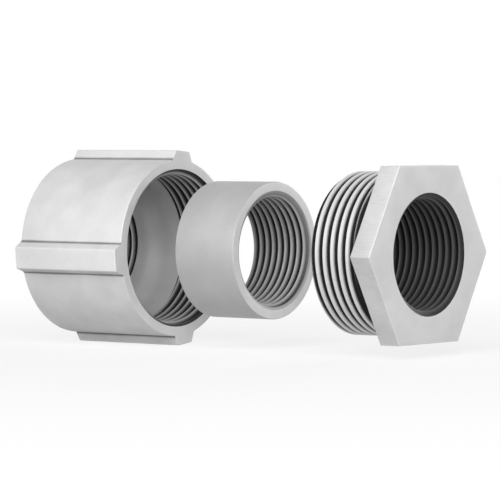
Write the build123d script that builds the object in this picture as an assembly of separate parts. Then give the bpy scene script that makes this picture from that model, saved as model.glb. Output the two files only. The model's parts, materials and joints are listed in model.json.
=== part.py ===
from build123d import *
import math
import os

os.makedirs("parts", exist_ok=True)

# Three-piece conduit coupling, 1 inch trade size, set out along one axis.
# Millimetres, +Z up, +X along the axis from the coupling body to the gland nut.
# The origin is on the axis, at the inner end of the body's conduit thread, where the sleeve seats.

# Conduit threads, the same in all three pieces
conduit_bore_d = 30.5  # across the thread crests
countersink_step = 1.55  # out from the crests, where the conduit enters
countersink_depth = 1.0

# Union thread that joins the gland nut to the body, 10 turns to the inch
union_pitch = 2.54
union_crest = 0.9  # flat left on each crest
union_angle = 60.0  # between the flanks
union_play = 0.1  # round the nut's thread in the body's mouth

# Coupling body
body_wall = 2.7  # round the mouth
body_length = 37.5
body_thread_length = 9.6  # conduit end, from the back face to the sleeve's seat
mouth_thread_length = 16.0
mouth_bevel = 0.15
chamber_relief = 0.35  # the chamber is cut this much deeper than the mouth

# Wrench ribs on the body
rib_angles = [1, 85, 186, 277]  # degrees round the axis, from +Y towards +Z
rib_height = 2.6
rib_tip_width = 6.2
rib_root_width = 9.0
rib_root_fillet = 0.8
rib_tip_fillet = 0.5

# Sleeve
sleeve_wall = 4.05  # from the conduit thread's crests to the outside
sleeve_length = 20.5
sleeve_edge = 0.4
sleeve_play = 0.6  # round the sleeve where it seats in the body

# Gland nut
nut_wall = 7.25  # from the conduit thread's crests to the union thread's crests
nut_thread_turns = 6
nut_shank_length = 17.6  # the union thread and the plain neck beside the hexagon
hex_shoulder = 1.6  # from the union thread's crests out to the flats
hex_thickness = 6.3
hex_edge = 0.3

# How far apart the pieces stand
sleeve_gap = 14.8  # body's mouth to the sleeve
nut_gap = 28.6  # sleeve to the nut's thread

# Places and radii that follow from the sizes above
back_x = -body_thread_length
mouth_x = back_x + body_length
sleeve_x = mouth_x + sleeve_gap
nut_x = sleeve_x + sleeve_length + nut_gap
hex_x = nut_x + nut_shank_length
front_x = hex_x + hex_thickness

conduit_r = conduit_bore_d / 2
countersink_r = conduit_r + countersink_step
sleeve_r = conduit_r + sleeve_wall
seat_r = sleeve_r + sleeve_play
union_r = conduit_r + nut_wall
flank_width = (union_pitch - union_crest) / 2
union_root_r = union_r - flank_width / math.tan(math.radians(union_angle / 2))
hex_r = union_r + hex_shoulder
mouth_r = union_r + union_play
chamber_r = mouth_r + chamber_relief
body_r = mouth_r + body_wall


def turned(*points):
    """A solid of revolution round the X axis from its outline, given as (x, radius) points."""
    return revolve(make_face(Polyline(*points, close=True)), Axis.X)


def conduit_hole(start, end, countersunk_start, countersunk_end):
    """The space inside a conduit thread, opened out by a countersink where the conduit enters."""
    lead_in = start + countersink_depth if countersunk_start else start
    lead_out = end - countersink_depth if countersunk_end else end
    points = [(start, 0)]
    if countersunk_start:
        points.append((start, countersink_r))
    points.append((lead_in, conduit_r))
    points.append((lead_out, conduit_r))
    if countersunk_end:
        points.append((end, countersink_r))
    points.append((end, 0))
    return turned(*points)


def body_section():
    """The body's outline across the axis: a round wall with wrench ribs, filleted at root and tip."""
    tip_r = body_r + rib_height
    root_r = math.sqrt(body_r**2 - (rib_root_width / 2) ** 2)
    root = rib_root_width / 2
    tip = rib_tip_width / 2
    corners = [(0, -root), (root_r, -root), (tip_r, -tip), (tip_r, tip), (root_r, root), (0, root)]
    rib = make_face(Polyline(*corners, close=True))
    section = Circle(body_r) + [Rot(0, 0, angle) * rib for angle in rib_angles]
    tips = [v for v in section.vertices() if math.hypot(v.X, v.Y) > body_r + rib_height / 2]
    section = fillet(tips, rib_tip_fillet)
    roots = [v for v in section.vertices() if math.hypot(v.X, v.Y) < body_r + rib_height / 4]
    return fillet(roots, rib_root_fillet)


def chamber():
    """The space inside the body: a sloping seat corner, a smooth chamber and the bevelled mouth."""
    thread_x = mouth_x - mouth_thread_length
    return turned(
        (0, 0),
        (0, seat_r),
        (chamber_r - seat_r, chamber_r),
        (thread_x - chamber_relief, chamber_r),
        (thread_x, mouth_r),
        (mouth_x - mouth_bevel, mouth_r),
        (mouth_x, mouth_r + mouth_bevel),
        (mouth_x, 0),
    )


def coupling_body():
    """The ribbed casting: conduit thread at the back, union mouth at the front."""
    across = Plane(origin=(back_x, 0, 0), x_dir=(0, 1, 0), z_dir=(1, 0, 0))
    wall = extrude(across * body_section(), body_length)
    return wall - chamber() - conduit_hole(back_x, 0, True, False)


def sleeve():
    """The plain ring that the second conduit screws into."""
    end_x = sleeve_x + sleeve_length
    blank = turned(
        (sleeve_x, 0),
        (sleeve_x, sleeve_r - sleeve_edge),
        (sleeve_x + sleeve_edge, sleeve_r),
        (end_x - sleeve_edge, sleeve_r),
        (end_x, sleeve_r - sleeve_edge),
        (end_x, 0),
    )
    return blank - conduit_hole(sleeve_x, end_x, True, True)


def threaded_shank():
    """The nut's thread and neck. The thread has its real section and pitch, cut as rings, not as a helix."""
    points = [(nut_x, 0), (nut_x, union_root_r)]
    for i in range(nut_thread_turns):
        ring_x = nut_x + i * union_pitch
        points.append((ring_x + flank_width, union_r))
        points.append((ring_x + flank_width + union_crest, union_r))
        points.append((ring_x + union_pitch, union_root_r))
    points.append((hex_x, union_root_r))
    points.append((hex_x, 0))
    return turned(*points)


def gland_nut():
    """The hexagon nut with its outside union thread and a conduit thread right through."""
    across = Plane(origin=(hex_x, 0, 0), x_dir=(0, 1, 0), z_dir=(1, 0, 0))
    head = extrude(across * RegularPolygon(hex_r, 6, major_radius=False), hex_thickness)
    back_rim = head.edges().filter_by_position(Axis.X, hex_x, hex_x)
    front_rim = head.edges().filter_by_position(Axis.X, front_x, front_x)
    head = chamfer(back_rim + front_rim, hex_edge)
    nut = threaded_shank() + head
    return nut - conduit_hole(nut_x, front_x, True, True)


pieces = {
    "coupling_body": coupling_body(),
    "sleeve": sleeve(),
    "gland_nut": gland_nut(),
}
for name, piece in pieces.items():
    export_step(piece, f"parts/{name}.step")
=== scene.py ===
import json
import math

import bmesh
import bpy
import numpy as np
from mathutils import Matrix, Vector


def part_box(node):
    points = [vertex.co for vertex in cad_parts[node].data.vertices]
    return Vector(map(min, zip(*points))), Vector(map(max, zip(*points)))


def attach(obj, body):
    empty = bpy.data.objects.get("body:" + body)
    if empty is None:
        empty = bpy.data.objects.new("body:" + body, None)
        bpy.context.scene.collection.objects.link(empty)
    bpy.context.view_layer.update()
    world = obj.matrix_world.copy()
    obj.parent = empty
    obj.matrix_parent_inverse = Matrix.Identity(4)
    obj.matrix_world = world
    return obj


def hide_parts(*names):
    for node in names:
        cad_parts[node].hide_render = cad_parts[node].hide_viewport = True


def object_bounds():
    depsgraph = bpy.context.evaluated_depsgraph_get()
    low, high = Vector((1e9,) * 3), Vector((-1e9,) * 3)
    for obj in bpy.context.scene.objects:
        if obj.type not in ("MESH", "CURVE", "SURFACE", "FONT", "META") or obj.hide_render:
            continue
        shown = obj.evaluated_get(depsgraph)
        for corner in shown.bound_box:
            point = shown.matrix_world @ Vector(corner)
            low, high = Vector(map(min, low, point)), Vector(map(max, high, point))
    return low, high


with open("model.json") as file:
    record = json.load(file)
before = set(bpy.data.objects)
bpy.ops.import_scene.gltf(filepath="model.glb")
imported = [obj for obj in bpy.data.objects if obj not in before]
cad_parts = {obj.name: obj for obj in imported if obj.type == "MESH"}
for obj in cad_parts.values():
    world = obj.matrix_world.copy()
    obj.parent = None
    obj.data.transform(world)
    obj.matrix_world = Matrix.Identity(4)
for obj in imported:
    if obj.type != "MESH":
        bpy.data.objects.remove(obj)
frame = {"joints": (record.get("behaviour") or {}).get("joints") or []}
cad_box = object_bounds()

# Three-piece conduit coupling, 1 inch trade size, set out along one axis.
# Metres, +Z up, +X along the axis from the body to the gland nut.
# The threads are cut as true right-hand helices.

MM = 0.001
TURN = 2 * math.pi

# Places along the axis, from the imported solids

body_low, body_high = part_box("coupling_body")
sleeve_low, sleeve_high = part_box("sleeve")
nut_low, nut_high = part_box("gland_nut")
back_x, mouth_x = body_low[0], body_high[0]
sleeve_x, sleeve_end = sleeve_low[0], sleeve_high[0]
nut_x, front_x = nut_low[0], nut_high[0]
seat_x = 0.0
floor_z = cad_box[0][2]
travel = sum(joint["range_m"][1] for joint in frame["joints"])  # of the nut, into the mouth

# Conduit thread, the same in all three pieces

conduit_pitch = 25.4 / 11.5 * MM  # 11.5 turns to the inch
conduit_crest_r = 15.25 * MM
conduit_root_r = 16.6 * MM
conduit_root_flat = 0.24 * MM
countersink_r = 16.8 * MM
countersink_depth = 1.0 * MM
bore_edge = 0.1 * MM  # rounding where an end face meets a bore

# Union thread that joins the nut to the body

union_pitch = 2.54 * MM
union_crest_r = 22.5 * MM
union_crest_flat = 0.9 * MM
union_root_r = 21.08 * MM
union_root_flat = 0.04 * MM
mouth_root_r = 22.6 * MM
mouth_root_flat = 0.95 * MM
mouth_crest_r = 21.3 * MM
flank_slope = math.tan(math.radians(30))  # each flank's lean
overcut = 0.2 * MM  # how far a thread's cutter stands past the crests

# Body

body_r = 25.3 * MM
body_edge = 0.35 * MM
rib_tip_r = 27.9 * MM
rib_tip_half = 3.1 * MM
rib_tip_round = 0.25 * MM
rib_root_half = 4.5 * MM
rib_root_round = 0.3 * MM
rib_places = np.radians([1, 85, 186, 277])
rib_reach = math.radians(40)  # how far round from its middle a rib is looked for
mouth_thread_length = 16.0 * MM
mouth_thread_x = mouth_x - mouth_thread_length
mouth_edge_r = 22.55 * MM
chamber_r = 22.95 * MM
chamber_round = 2.0 * MM
seat_r = 19.9 * MM
seat_round = 0.8 * MM

# Sleeve

sleeve_r = 19.3 * MM
sleeve_edge = 0.35 * MM

# Nut

thread_turns = 6
neck_x = nut_x + thread_turns * union_pitch
neck_drop = 0.02 * MM  # below the thread's root, so that the thread runs out clean
neck_r = union_root_r - neck_drop
neck_round = 0.3 * MM
hex_thickness = 6.3 * MM
hex_x = front_x - hex_thickness
hex_half = 24.1 * MM
hex_edge = 0.3 * MM

# Fineness of the meshes

columns_round = 360
columns_on_rib = 105
columns_between_ribs = 50
rib_stretch = math.radians(13)  # finely divided, to each side of a rib's middle
groove_steps = 96  # to a turn
merge_distance = 0.0005 * MM
sharp_angle = math.radians(28)

# How a profile's row runs round the axis, and a corner that isn't rounded

ROUND = 0  # a circle
SHAPED = 1  # along the ribbed or the hexagonal outline
SHARP = 0.0


# Surfaces

def smooth_least(a, b, k):
    """The smaller of two arrays, with the corner between them rounded over the length k: half of
    what is left when the root of the squared difference plus k squared is taken from the sum."""
    return (a + b - np.sqrt((a - b) ** 2 + k * k)) / 2


def smooth_most(a, b, k):
    """The larger of two arrays, rounded in the same way, with the root added to the sum."""
    return (a + b + np.sqrt((a - b) ** 2 + k * k)) / 2


def ribbed_outline(angle):
    """The body's radius at each angle: its circle, or a rib where that reaches further. A rib is the
    nearer of two straight lines, its flat tip and its leaning flank. Each line's radius is its
    distance from the axis over the cosine of the angle to its nearest point."""
    turned_away = (angle[:, None] - rib_places[None, :] + math.pi) % TURN - math.pi
    away = np.abs(turned_away).min(axis=1)
    root_forward = math.sqrt(body_r**2 - rib_root_half**2)
    rise = rib_tip_r - root_forward
    spread = rib_root_half - rib_tip_half
    slant = math.hypot(rise, spread)
    reach = (spread * rib_tip_r + rise * rib_tip_half) / slant
    tip = rib_tip_r / np.cos(away)
    flank = reach * slant / (spread * np.cos(away) + rise * np.sin(away))
    rib = np.where(away < rib_reach, smooth_least(tip, flank, rib_tip_round), 0)
    return smooth_most(np.full_like(angle, body_r), rib, rib_root_round)


def hexagon_outline(angle):
    """The nut's radius at each angle: half the width across flats over the cosine of the angle from
    the nearest flat's middle. Two flats face up and down."""
    step = TURN / 6
    away = (angle - TURN / 4 + step / 2) % step - step / 2
    return hex_half / np.cos(away)


def ribbed_angles():
    """Angles round the body, close together across each rib and wider between them."""
    following = np.append(rib_places[1:], rib_places[0] + TURN)
    stretches = []
    for place, after in zip(rib_places, following):
        stretches.append(np.linspace(place - rib_stretch, place + rib_stretch, columns_on_rib))
        between = np.linspace(place + rib_stretch, after - rib_stretch, columns_between_ribs)
        stretches.append(between[1:-1])
    return np.concatenate(stretches)


def even_angles():
    """Evenly spaced angles round the axis."""
    return np.arange(columns_round) * (TURN / columns_round)


def rounded(corners, steps=4):
    """A profile with its corners rounded. Each corner is (x, radius, round or shaped, rounding).
    The arc is a quadratic blend that starts and ends the rounding away from the corner."""
    rows = []
    for i, (x, r, weight, rounding) in enumerate(corners):
        if rounding == SHARP:
            rows.append((x, r, weight))
            continue
        here = np.array([x, r])
        before = np.array(corners[i - 1][:2]) - here
        after = np.array(corners[(i + 1) % len(corners)][:2]) - here
        start = here + before * (rounding / np.linalg.norm(before))
        end = here + after * (rounding / np.linalg.norm(after))
        for t in np.linspace(0, 1, steps):
            spot = (1 - t) ** 2 * start + 2 * t * (1 - t) * here + t * t * end
            rows.append((spot[0], spot[1], weight))
    return np.array(rows)


def round_axis(x, r, angle):
    """Points at x along the axis and r away from it; the angle turns from +Y towards +Z."""
    return np.stack([x + 0 * r, r * np.cos(angle), r * np.sin(angle)], axis=-1).reshape(-1, 3)


def grid_faces(rows, columns, close_rows):
    """Quads of a grid that closes across its columns, and across its rows if asked."""
    i = np.arange(rows if close_rows else rows - 1)[:, None]
    j = np.arange(columns)[None, :]
    i2 = (i + 1) % rows
    j2 = (j + 1) % columns
    corners = [i * columns + j, i * columns + j2, i2 * columns + j2, i2 * columns + j]
    return np.stack(corners, axis=-1).reshape(-1, 4)


def add_object(name, data):
    """A new object in the scene."""
    thing = bpy.data.objects.new(name, data)
    bpy.context.scene.collection.objects.link(thing)
    return thing


def mesh_object(name, points, quads, ends=()):
    """A new mesh from points, quads and, at the ends of an open tube, one larger face each."""
    mesh = bpy.data.meshes.new(name)
    faces = quads.tolist() + [list(end) for end in ends]
    mesh.from_pydata(points.tolist(), [], faces)
    mesh.validate()
    return add_object(name, mesh)


def turned(name, profile, angles, swell):
    """A closed ring. Each row of the profile is a circle at its x and radius, and a shaped row
    adds the swell at each angle to its radius."""
    x = profile[:, 0][:, None]
    r = profile[:, 1][:, None] + profile[:, 2][:, None] * swell[None, :]
    return mesh_object(name, round_axis(x, r, angles), grid_faces(len(profile), len(angles), True))


def groove(name, start, end, phase_x, pitch, outer, inner):
    """A helical wedge for cutting a right-hand thread. At each angle its middle lies at phase_x plus
    the pitch times the angle's share of a turn. outer and inner are (radius, half width) of its edges."""
    first = math.floor((start - phase_x) / pitch * groove_steps)
    last = math.ceil((end - phase_x) / pitch * groove_steps)
    angle = np.arange(first, last + 1)[:, None] * (TURN / groove_steps)
    middle = phase_x + pitch * angle / TURN
    inner_r, inner_half = inner
    outer_r, outer_half = outer
    r = np.array([inner_r, outer_r, outer_r, inner_r])[None, :]
    shift = np.array([-inner_half, -outer_half, outer_half, inner_half])[None, :]
    rows = len(angle)
    ends = [(3, 2, 1, 0), tuple((rows - 1) * 4 + k for k in range(4))]
    return mesh_object(name, round_axis(middle + shift, r, angle), grid_faces(rows, 4, False), ends)


def conduit_groove(name, start, end):
    """The cutter for a conduit thread from start to end, two turns longer at each end."""
    inner_r = conduit_crest_r - overcut
    half = conduit_root_flat / 2
    inner_half = half + (conduit_root_r - inner_r) * flank_slope
    return groove(
        name, start - 2 * conduit_pitch, end + 2 * conduit_pitch, start, conduit_pitch,
        outer=(conduit_root_r, half), inner=(inner_r, inner_half),
    )


def mouth_groove():
    """The cutter for the body's union thread. It is set so that the nut's crests lie in it when
    the coupling is assembled."""
    inner_r = mouth_crest_r - overcut
    half = mouth_root_flat / 2
    inner_half = half + (mouth_root_r - inner_r) * flank_slope
    return groove(
        "mouth_groove", mouth_thread_x - 2 * union_pitch, mouth_x + union_pitch,
        nut_x - travel + union_pitch / 2, union_pitch,
        outer=(mouth_root_r, half), inner=(inner_r, inner_half),
    )


def union_groove():
    """The cutter for the nut's outside union thread. It runs out in the neck."""
    outer_half = (union_pitch - union_crest_flat) / 2 + overcut * flank_slope
    return groove(
        "union_groove", nut_x - 1.5 * union_pitch, neck_x + union_pitch / 2, nut_x, union_pitch,
        outer=(union_crest_r + overcut, outer_half), inner=(union_root_r, union_root_flat / 2),
    )


def face_outwards(thing):
    """Merges doubled points and turns every face outwards."""
    shell = bmesh.new()
    shell.from_mesh(thing.data)
    bmesh.ops.remove_doubles(shell, verts=shell.verts, dist=merge_distance)
    bmesh.ops.recalc_face_normals(shell, faces=shell.faces)
    if shell.calc_volume(signed=True) < 0:
        bmesh.ops.reverse_faces(shell, faces=shell.faces)
    shell.to_mesh(thing.data)
    shell.free()


def cut(thing, *cutters):
    """Cuts each cutter out of the thing and keeps only the result."""
    face_outwards(thing)
    for cutter in cutters:
        face_outwards(cutter)
        step = thing.modifiers.new(cutter.name, "BOOLEAN")
        step.operation = "DIFFERENCE"
        step.solver = "EXACT"
        step.object = cutter
    graph = bpy.context.evaluated_depsgraph_get()
    result = bpy.data.meshes.new_from_object(thing.evaluated_get(graph))
    thing.modifiers.clear()
    blank = thing.data
    thing.data = result
    bpy.data.meshes.remove(blank)
    for cutter in cutters:
        bpy.data.objects.remove(cutter)
    face_outwards(thing)


# Shader maths

class Value:
    """A socket whose operators add Math nodes."""

    def __init__(self, graph, socket):
        self.graph = graph
        self.socket = socket

    def math(self, operation, *values):
        """A Math node on these values."""
        return self.graph.node("ShaderNodeMath", {"operation": operation}, dict(enumerate(values)))

    def __add__(self, other):
        return self.math("ADD", self, other)

    def __radd__(self, other):
        return self.math("ADD", other, self)

    def __sub__(self, other):
        return self.math("SUBTRACT", self, other)

    def __rsub__(self, other):
        return self.math("SUBTRACT", other, self)

    def __mul__(self, other):
        return self.math("MULTIPLY", self, other)

    def __rmul__(self, other):
        return self.math("MULTIPLY", other, self)

    def __pow__(self, other):
        return self.math("POWER", self, other)

    def __abs__(self):
        return self.math("ABSOLUTE", self)

    def sin(self):
        """The sine."""
        return self.math("SINE", self)

    def most(self, other):
        """The larger of two values."""
        return self.math("MAXIMUM", self, other)

    def beside(self, output):
        """Another output of the same node."""
        return Value(self.graph, self.socket.node.outputs[output])


class Graph:
    """The nodes of a material, or of the world."""

    def __init__(self, owner, shader="Principled BSDF"):
        self.owner = owner
        owner.use_nodes = True
        self.tree = owner.node_tree
        self.shader = self.tree.nodes[shader]

    def fill(self, sockets, values):
        """Links each socket to its value, or writes a plain number or colour on it."""
        for key, value in values.items():
            if isinstance(value, Value):
                self.tree.links.new(value.socket, sockets[key])
            else:
                sockets[key].default_value = value

    def node(self, kind, settings, inputs, output=0):
        """Adds a node: its settings first, then the values or links of its sockets."""
        made = self.tree.nodes.new(kind)
        for key, value in settings.items():
            setattr(made, key, value)
        self.fill(made.inputs, inputs)
        return Value(self, made.outputs[output])

    def set(self, **sockets):
        """Sets or links sockets of the shader; an underscore stands for a space."""
        self.fill(self.shader.inputs, {key.replace("_", " "): value for key, value in sockets.items()})

    def place(self):
        """Object coordinates."""
        return self.node("ShaderNodeTexCoord", {}, {}, "Object")

    def parts(self, place):
        """The x, y and z of a place."""
        whole = self.node("ShaderNodeSeparateXYZ", {}, {0: place})
        return [whole.beside(axis) for axis in "XYZ"]

    def stretched(self, place, shares):
        """A place with its x, y and z multiplied by three shares."""
        return self.node("ShaderNodeVectorMath", {"operation": "MULTIPLY"}, {0: place, 1: shares})

    def noise(self, place, scale, detail):
        """Noise from 0 to 1; scale is in patches per metre."""
        inputs = {"Vector": place, "Scale": scale, "Detail": detail, "Roughness": 0.55}
        return self.node("ShaderNodeTexNoise", {}, inputs)

    def span(self, value, low, high, out_low=0.0, out_high=1.0, easing="LINEAR"):
        """The value carried from one range to another, held at the ends."""
        inputs = dict(enumerate((value, low, high, out_low, out_high)))
        return self.node("ShaderNodeMapRange", {"interpolation_type": easing}, inputs)

    def mix(self, factor, first, second):
        """A colour between two colours."""
        inputs = {0: factor, 6: first, 7: second}
        return self.node("ShaderNodeMix", {"data_type": "RGBA"}, inputs, 2)

    def bump(self, height, distance, strength):
        """A normal bent by the height, which is distance metres at 1."""
        inputs = {"Height": height, "Distance": distance, "Strength": strength}
        return self.node("ShaderNodeBump", {}, inputs)

    def seen_ray(self):
        """1 for a ray from the camera, a reflection or a clear pane, 0 for one that carries light."""
        path = self.node("ShaderNodeLightPath", {}, {}, "Is Camera Ray")
        return path.most(path.beside("Is Glossy Ray")).most(path.beside("Is Transmission Ray"))

    def show_white(self, factor):
        """Shows a plain white glow in place of the shader, as far as the factor says."""
        glow = self.node("ShaderNodeEmission", {}, {"Color": grey(1.0), "Strength": 1.0})
        own = Value(self, self.shader.outputs[0])
        mixed = self.node("ShaderNodeMixShader", {}, {0: factor, 1: own, 2: glow})
        self.fill(self.tree.nodes["Material Output"].inputs, {"Surface": mixed})


def grey(level):
    """A neutral colour."""
    return (level, level, level, 1.0)


def off_axis(a, b):
    """How far a place is from an axis, from its two distances across it."""
    return (a * a + b * b) ** 0.5


# Finishes

plating_metallic = 0.3
grain_low, grain_high = 0.3, 0.7  # the range that the fine noise covers

# The casting, with heights measured from its round wall

cast_mottle_scale = 90.0
sand_scale = 1500.0
# rib tips painted brighter: partly rubbed wear, partly a painted highlight
rub_sheen_start, rub_sheen_full = 2.2 * MM, 2.7 * MM
rub_sheen_wander = 0.6 * MM
rub_sheen_share = 0.35
inside_start, inside_full = -1.0 * MM, -2.0 * MM
# painted shade along the ribs' roots: where it starts and is full above and below the round wall, and
# across
rib_shade_top, rib_shade_top_full = 0.9 * MM, 0.3 * MM
rib_shade_foot, rib_shade_foot_full = -0.6 * MM, -0.2 * MM
rib_shade_width, rib_shade_width_full = 0.55 * MM, 0.1 * MM
rib_shade_inset = 0.05 * MM  # from the rib's half width
rib_shade_wander = 0.4 * MM
rib_shade_share = 0.8

# Turned faces, drawn flats and threads

mottle_scale = 120.0
grain_scale = 2200.0
thread_grain_scale = 1800.0
ring_pitch = 0.35 * MM
ring_lean = 0.35  # lets the rings show on the outside as well as on the ends
ring_wander = 0.2 * MM
drawn_shares = (0.12, 1.0, 1.0)
root_shade_wander = 0.2 * MM
crest_share = 0.95  # of a thread's height, above which the painted root shade is gone
# how much the painted root shade lightens by an open end
open_end_lift = 0.8
open_end_start, open_end_reach = 0.2 * MM, 1.4 * MM


def cast_zinc(name):
    """Zinc-plated cast iron: fine sand grain over broad mottling, satin, and duller inside. Painted
    shade darkens lines along the ribs' roots, and the rib tips are painted brighter, partly as rubbed
    wear and partly as a painted highlight."""
    g = Graph(bpy.data.materials.new(name))
    place = g.place()
    y, z = g.parts(place)[1:]
    up = off_axis(y, z) - body_r
    mottle = g.noise(place, cast_mottle_scale, 2.0)
    sand = g.noise(place, sand_scale, 4.0)
    tone = g.span(mottle * 0.7 + sand * 0.3, 0.35, 0.65)
    # rib tips lighter, partly as rubbed wear and partly as a painted highlight
    rub_and_sheen = g.span(up + (sand - 0.5) * rub_sheen_wander, rub_sheen_start, rub_sheen_full)
    inside = g.span(up, inside_start, inside_full)
    at_root = g.span(up, rib_shade_top, rib_shade_top_full) * g.span(up, rib_shade_foot, rib_shade_foot_full)

    def root_rib_shade(angle):
        """Painted shade: dark lines at the half width of the rib at this angle, on the rib's side of the
        axis.
        """
        outward = y * math.cos(angle) + z * math.sin(angle)
        across = z * math.cos(angle) - y * math.sin(angle)
        off_root = abs(abs(across) - (rib_root_half - rib_shade_inset)) + (mottle - 0.5) * rib_shade_wander
        line = g.span(off_root, rib_shade_width, rib_shade_width_full)
        return line * at_root * g.span(outward, 0.0, 1.0 * MM)

    # painted shade along the ribs' roots, mixed towards near black in the base colour
    rib_shade = sum(root_rib_shade(angle) for angle in rib_places)
    skin = g.mix(tone, grey(0.56), grey(0.65))
    bright = g.mix(rub_and_sheen * rub_sheen_share, skin, grey(0.74))
    g.set(
        Base_Color=g.mix(rib_shade * rib_shade_share, bright, grey(0.07)),
        Roughness=g.span(sand, grain_low, grain_high, 0.56, 0.66) + inside * 0.08,
        Normal=g.bump(sand * 0.7 + mottle * 0.3, 0.12 * MM, 0.5),
        Metallic=plating_metallic,
    )
    return g.owner


def turned_zinc(name, dark, light):
    """Zinc-plated turned metal: fine rings left by the tool, a little mottling."""
    g = Graph(bpy.data.materials.new(name))
    place = g.place()
    x, y, z = g.parts(place)
    mottle = g.noise(place, mottle_scale, 2.0)
    grain = g.noise(place, grain_scale, 2.0)
    rings = ((off_axis(y, z) + x * ring_lean + mottle * ring_wander) * (TURN / ring_pitch)).sin()
    tone = g.span(mottle * 0.6 + grain * 0.3 + rings * 0.05, 0.3, 0.65)
    g.set(
        Base_Color=g.mix(tone, grey(dark), grey(light)),
        Roughness=g.span(grain, grain_low, grain_high, 0.46, 0.54),
        Normal=g.bump(rings * 0.25 + grain, 0.04 * MM, 0.35),
        Metallic=plating_metallic,
    )
    return g.owner


def drawn_zinc(name, dark, light):
    """Zinc-plated flats as the bar was drawn: fine grain stretched along the axis, a little mottling."""
    g = Graph(bpy.data.materials.new(name))
    place = g.place()
    mottle = g.noise(place, mottle_scale, 2.0)
    grain = g.noise(g.stretched(place, drawn_shares), grain_scale, 3.0)
    tone = g.span(mottle * 0.6 + grain * 0.4, 0.35, 0.65)
    g.set(
        Base_Color=g.mix(tone, grey(dark), grey(light)),
        Roughness=g.span(grain, grain_low, grain_high, 0.48, 0.58),
        Normal=g.bump(grain, 0.05 * MM, 0.4),
        Metallic=plating_metallic,
    )
    return g.owner


def thread_zinc(name, root_r, crest_r, dark, light, open_ends=(), dark_to=0.4):
    """Threaded metal, light on the crests, with painted shade dark down in the roots, up to the
    share dark_to of the thread's height. By an open end the painted root shade is lighter."""
    g = Graph(bpy.data.materials.new(name))
    place = g.place()
    x, y, z = g.parts(place)
    grain = g.noise(place, thread_grain_scale, 3.0)
    height = crest_r - root_r
    up = off_axis(y, z) + (grain - 0.5) * root_shade_wander
    # painted shade down in the roots, light towards the crests
    out_of_shade = g.span(up, root_r + dark_to * height, root_r + crest_share * height)
    for end in open_ends:
        inside = g.span(abs(x - end), open_end_start, open_end_reach)
        out_of_shade = out_of_shade.most(open_end_lift - open_end_lift * inside)
    g.set(
        Base_Color=g.mix(out_of_shade, grey(dark), grey(light)),
        Roughness=g.span(grain, grain_low, grain_high, 0.42, 0.54),
        Normal=g.bump(grain, 0.05 * MM, 0.4),
        Metallic=plating_metallic,
    )
    return g.owner


conduit_thread = (conduit_root_r, conduit_crest_r)
# painted shade in the thread roots, near black
root_shade_dark = 0.012
thread_light = 0.50

# Each finish, with its darkest and lightest grey

finishes = {
    "cast": cast_zinc("cast_zinc"),
    "turned": turned_zinc("turned_zinc", 0.62, 0.72),
    "hex_face": turned_zinc("hex_face_zinc", 0.68, 0.77),
    "hex_flat": drawn_zinc("hex_flat_zinc", 0.50, 0.60),
    "sleeve": turned_zinc("sleeve_zinc", 0.39, 0.46),
    "sleeve_end": turned_zinc("sleeve_end_zinc", 0.70, 0.79),
    "mouth_thread": thread_zinc("mouth_thread_zinc", mouth_root_r, mouth_crest_r, root_shade_dark, thread_light),
    "back_thread": thread_zinc("back_thread_zinc", *conduit_thread, root_shade_dark, thread_light, [back_x]),
    "sleeve_thread": thread_zinc(
        "sleeve_thread_zinc", *conduit_thread, root_shade_dark, thread_light, [sleeve_x, sleeve_end]),
    # the union thread's painted root shade reaches further up its flanks
    "union_thread": thread_zinc(
        "union_thread_zinc", union_root_r, union_crest_r, root_shade_dark, 0.64, dark_to=0.6),
    # painted shade: the nut's whole threaded bore, crests too, is painted near black
    "nut_thread": thread_zinc("nut_thread_zinc", *conduit_thread, 0.006, 0.08),
}


# How the faces of a piece are told apart

end_square = 0.95  # how squarely an end face looks along the axis, at least
side_square = 0.3  # and a flat of the hexagon, at most
hair = 0.01 * MM  # keeps an end face out of a thread that starts at it
wall_band = 0.05 * MM  # how near a face's middle is to the wall that it lies on
shoulder_length = 1.2 * MM  # from the chamber up to the mouth's thread


def on_countersink(x, away, end_x):
    """Whether a face lies on the cone that opens a conduit thread at end_x."""
    depth = np.abs(x - end_x)
    cone_r = countersink_r - depth * (countersink_r - conduit_crest_r) / countersink_depth
    return (depth < countersink_depth) & (np.abs(away - cone_r) < wall_band)


def finish_faces(thing, first, choose):
    """Smooth shading with sharp edges kept, and a finish for each face: the first one, and over it
    each pair of a finish and its faces that choose gives. It picks them by their place along the
    axis, their distance from the axis, and how squarely they face along it, from 0 to 1."""
    mesh = thing.data
    count = len(mesh.polygons)
    centre = np.empty(count * 3)
    normal = np.empty(count * 3)
    mesh.polygons.foreach_get("center", centre)
    mesh.polygons.foreach_get("normal", normal)
    x, y, z = centre.reshape(-1, 3).T
    square = np.abs(normal.reshape(-1, 3)[:, 0])
    index = np.zeros(count, dtype=np.int32)
    mesh.materials.append(finishes[first])
    for number, (finish, where) in enumerate(choose(x, np.hypot(y, z), square), start=1):
        index[where] = number
        mesh.materials.append(finishes[finish])
    mesh.polygons.foreach_set("material_index", index)
    mesh.shade_smooth()
    mesh.set_sharp_from_angle(angle=sharp_angle)
    mesh.update()


# Pieces

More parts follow.
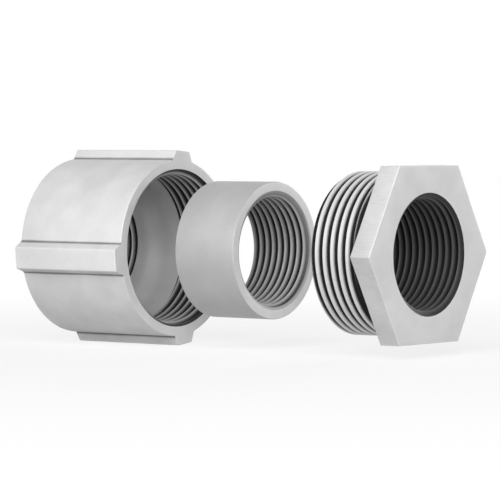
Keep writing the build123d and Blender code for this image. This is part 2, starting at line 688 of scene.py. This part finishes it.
def make_body():
    """The ribbed casting with its union thread, chamber, seat and conduit thread."""
    relief = chamber_r - mouth_crest_r
    profile = rounded([
        (back_x, countersink_r, ROUND, SHARP),
        (back_x, body_r, SHAPED, body_edge),
        (mouth_x, body_r, SHAPED, body_edge),
        (mouth_x, mouth_edge_r, ROUND, bore_edge),
        (mouth_x - (mouth_edge_r - mouth_crest_r), mouth_crest_r, ROUND, SHARP),
        (mouth_thread_x, mouth_crest_r, ROUND, SHARP),
        (mouth_thread_x - relief * flank_slope, chamber_r, ROUND, SHARP),
        (seat_x + chamber_r - seat_r, chamber_r, ROUND, chamber_round),
        (seat_x, seat_r, ROUND, seat_round),
        (seat_x, conduit_crest_r, ROUND, SHARP),
        (back_x + countersink_depth, conduit_crest_r, ROUND, SHARP),
    ], steps=6)
    angles = ribbed_angles()
    body = turned("coupling_casting", profile, angles, ribbed_outline(angles) - body_r)
    cut(body, mouth_groove(), conduit_groove("back_groove", back_x, seat_x))

    def choose(x, away, square):
        cone = on_countersink(x, away, back_x)
        in_mouth = (x > mouth_thread_x - shoulder_length) & (x < mouth_x - hair)
        return [
            ("turned", (square > end_square) | cone),
            ("mouth_thread", (away < chamber_r - wall_band) & in_mouth),
            ("back_thread", (away < countersink_r) & (x < seat_x - hair) & ~cone),
        ]

    finish_faces(body, "cast", choose)
    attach(body, "body")
    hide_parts("coupling_body")


def make_sleeve():
    """The plain ring with a conduit thread right through."""
    profile = rounded([
        (sleeve_x, countersink_r, ROUND, bore_edge),
        (sleeve_x, sleeve_r, ROUND, sleeve_edge),
        (sleeve_end, sleeve_r, ROUND, sleeve_edge),
        (sleeve_end, countersink_r, ROUND, bore_edge),
        (sleeve_end - countersink_depth, conduit_crest_r, ROUND, SHARP),
        (sleeve_x + countersink_depth, conduit_crest_r, ROUND, SHARP),
    ])
    angles = even_angles()
    sleeve = turned("sleeve_ring", profile, angles, 0 * angles)
    cut(sleeve, conduit_groove("sleeve_groove", sleeve_x, sleeve_end))

    def choose(x, away, square):
        return [
            ("sleeve_end", square > end_square),
            ("sleeve_thread", away < countersink_r),
        ]

    finish_faces(sleeve, "sleeve", choose)
    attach(sleeve, "sleeve")
    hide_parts("sleeve")


def make_nut():
    """The hexagon nut with its outside union thread and its threaded bore."""
    flank = (union_crest_r - union_root_r) * flank_slope
    profile = rounded([
        (nut_x, countersink_r, ROUND, bore_edge),
        (nut_x, union_root_r, ROUND, SHARP),
        (nut_x + flank, union_crest_r, ROUND, SHARP),
        (neck_x - flank, union_crest_r, ROUND, SHARP),
        (neck_x, neck_r, ROUND, SHARP),
        (hex_x, neck_r, ROUND, neck_round),
        (hex_x, hex_half, SHAPED, hex_edge),
        (front_x, hex_half, SHAPED, hex_edge),
        (front_x, countersink_r, ROUND, bore_edge),
        (front_x - countersink_depth, conduit_crest_r, ROUND, SHARP),
        (nut_x + countersink_depth, conduit_crest_r, ROUND, SHARP),
    ])
    angles = even_angles()
    nut = turned("gland_hexagon", profile, angles, hexagon_outline(angles) - hex_half)
    cut(nut, union_groove(), conduit_groove("nut_groove", nut_x, front_x))

    def choose(x, away, square):
        outside = away > countersink_r
        return [
            ("union_thread", outside & (x > nut_x + hair) & (x < hex_x - hair)),
            ("nut_thread", away < countersink_r),
            ("hex_flat", outside & (x > hex_x) & (square < side_square)),
        ]

    finish_faces(nut, "hex_face", choose)
    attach(nut, "nut")
    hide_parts("gland_nut")


# Stage, light and camera

floor_half = 8.0
floor_speckle_scale = 40.0
floor_bounce = 0.6  # what the floor throws back of the light on it
shade_share = 0.2  # how much of the floor's own shade shows near the row
shade_reach, shade_end = 0.10, 0.35  # from the row's middle, where it starts and ends fading
surround_light = 0.10  # the surround's strength as light

view_azimuth = math.radians(38)
view_elevation = math.radians(2)
view_distance = 946 * MM
target_right = 20.7 * MM  # from the middle of the body's mouth
target_down = 0.6 * MM
sensor_width = 36.0
photo_width = 500
focal_pixels = 3300
view_right = Vector((math.cos(view_azimuth), math.sin(view_azimuth), 0.0))
view_back = Vector((
    math.sin(view_azimuth) * math.cos(view_elevation),
    -math.cos(view_azimuth) * math.cos(view_elevation),
    math.sin(view_elevation),
))
view_up = view_back.cross(view_right)
view_target = Vector((mouth_x, 0.0, 0.0)) + view_right * target_right - view_up * target_down

# Each lamp's place is metres to the right of the view's target, above it and back from it

lamps = {
    "key": {"place": (-0.25, 0.8, 1.8), "size": 1.7, "watts": 48.0},
    "fill": {"place": (-1.2, 0.5, 0.8), "size": 0.8, "watts": 3.4},
    "back": {"place": (1.0, 0.4, -1.6), "size": 1.0, "watts": 28.0},
}


def make_floor():
    """A wide pale floor at the row's lowest point. It keeps the shadow near the row, and further off
    it turns plain white where the camera or a reflection sees it. As light it throws back less."""
    signs = np.array([(-1, -1), (1, -1), (1, 1), (-1, 1)])
    points = np.column_stack([signs * floor_half, np.full(4, floor_z)])
    floor = mesh_object("floor", points, np.array([[0, 1, 2, 3]]))
    g = Graph(bpy.data.materials.new("floor_paint"))
    place = g.place()
    x, y = g.parts(place)[:2]
    away = off_axis(x - (back_x + front_x) / 2, y)
    white = g.span(away, shade_reach, shade_end, 1.0 - shade_share, 1.0, "SMOOTHSTEP")
    seen = g.seen_ray()
    pale = g.mix(g.noise(place, floor_speckle_scale, 2.0), grey(0.94), grey(0.96))
    g.set(Base_Color=g.mix(seen, grey(floor_bounce), pale), Roughness=0.9, Specular_IOR_Level=0.0)
    g.show_white(white * seen)
    floor.data.materials.append(g.owner)


def make_surround():
    """A pale surround: white to the camera and to reflections, softer as light."""
    world = bpy.data.worlds.new("studio")
    bpy.context.scene.world = world
    g = Graph(world, "Background")
    g.set(Color=grey(1.0), Strength=g.span(g.seen_ray(), 0.0, 1.0, surround_light, 1.0))


def aim(thing, place, direction):
    """Puts a lamp or the camera at a place, looking in a direction."""
    thing.location = place
    thing.rotation_euler = direction.to_track_quat("-Z", "Y").to_euler()


def make_lamps():
    """Soft square lamps that face the view's target."""
    for name, lamp in lamps.items():
        light = bpy.data.lights.new(name, "AREA")
        light.shape = "SQUARE"
        light.size = lamp["size"]
        light.energy = lamp["watts"]
        right, up, back = lamp["place"]
        place = view_target + view_right * right + view_up * up + view_back * back
        aim(add_object(name, light), place, view_target - place)


def make_camera():
    """The camera at the drawing's angle, with a long lens."""
    camera = bpy.data.cameras.new("camera")
    camera.sensor_width = sensor_width
    camera.lens = focal_pixels * sensor_width / photo_width
    camera.clip_start = 0.01
    camera.clip_end = 50.0
    thing = add_object("camera", camera)
    aim(thing, view_target + view_back * view_distance, -view_back)
    bpy.context.scene.camera = thing


make_body()
make_sleeve()
make_nut()
make_floor()
make_surround()
make_lamps()
make_camera()
bpy.context.scene.view_settings.view_transform = "Standard"
